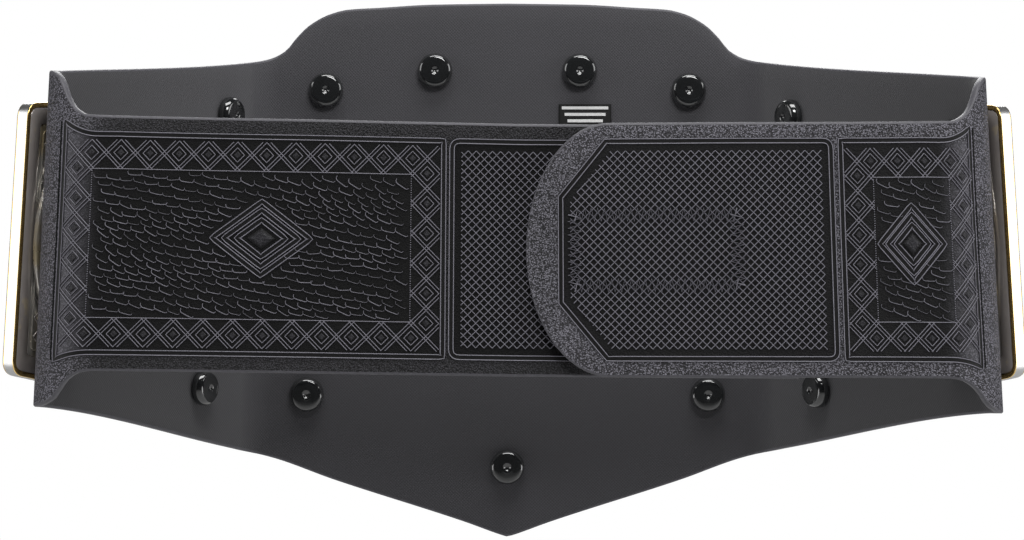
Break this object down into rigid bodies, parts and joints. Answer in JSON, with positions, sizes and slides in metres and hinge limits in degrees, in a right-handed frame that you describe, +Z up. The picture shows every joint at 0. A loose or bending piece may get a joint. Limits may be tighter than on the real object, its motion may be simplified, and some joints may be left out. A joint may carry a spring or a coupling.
{
  "type": "championship title belt",
  "caption": "Title belt closed as worn: embossed soft strap with overlapping tails, crested front panel, metallised main and side plates, glossy fastener caps.",
  "frame": {"origin": "middle of the closed loop at half the height of the rear strap", "axes": "+Y out through the main plate, +X to the side of the overlapping tail, +Z up as worn"},
  "size_m": [0.3696, 0.1561, 0.2108],
  "materials": {
    "strap": "embossed grained black imitation leather with a dark woven-look inner face",
    "pad": "black hook-and-loop",
    "label": "smooth black woven tape",
    "gold": "gold metallised plastic",
    "silver": "silver metallised plastic",
    "cap": "glossy black",
    "clear_back": "smoky clear plastic over metallised relief",
    "hub": "dark smooth plastic"
  },
  "bodies": {
    "root": {"strap": "strap", "closure_pad": "pad", "label": "label", "main_plate": "gold", "main_medallion": "silver", "cap_main_1": "cap", "cap_main_2": "cap", "cap_main_3": "cap", "cap_main_4": "cap", "cap_main_5": "cap", "cap_main_6": "cap", "cap_main_7": "cap", "side_plate_left": "gold", "side_medallion_left": "silver", "side_back_left": "clear_back", "side_hub_left": "hub", "cap_left_1": "cap", "cap_left_2": "cap", "cap_left_3": "cap", "cap_left_4": "cap", "side_plate_right": "gold", "side_medallion_right": "silver", "side_back_right": "clear_back", "side_hub_right": "hub", "cap_right_1": "cap", "cap_right_2": "cap", "cap_right_3": "cap", "cap_right_4": "cap"}
  },
  "joints": []
}
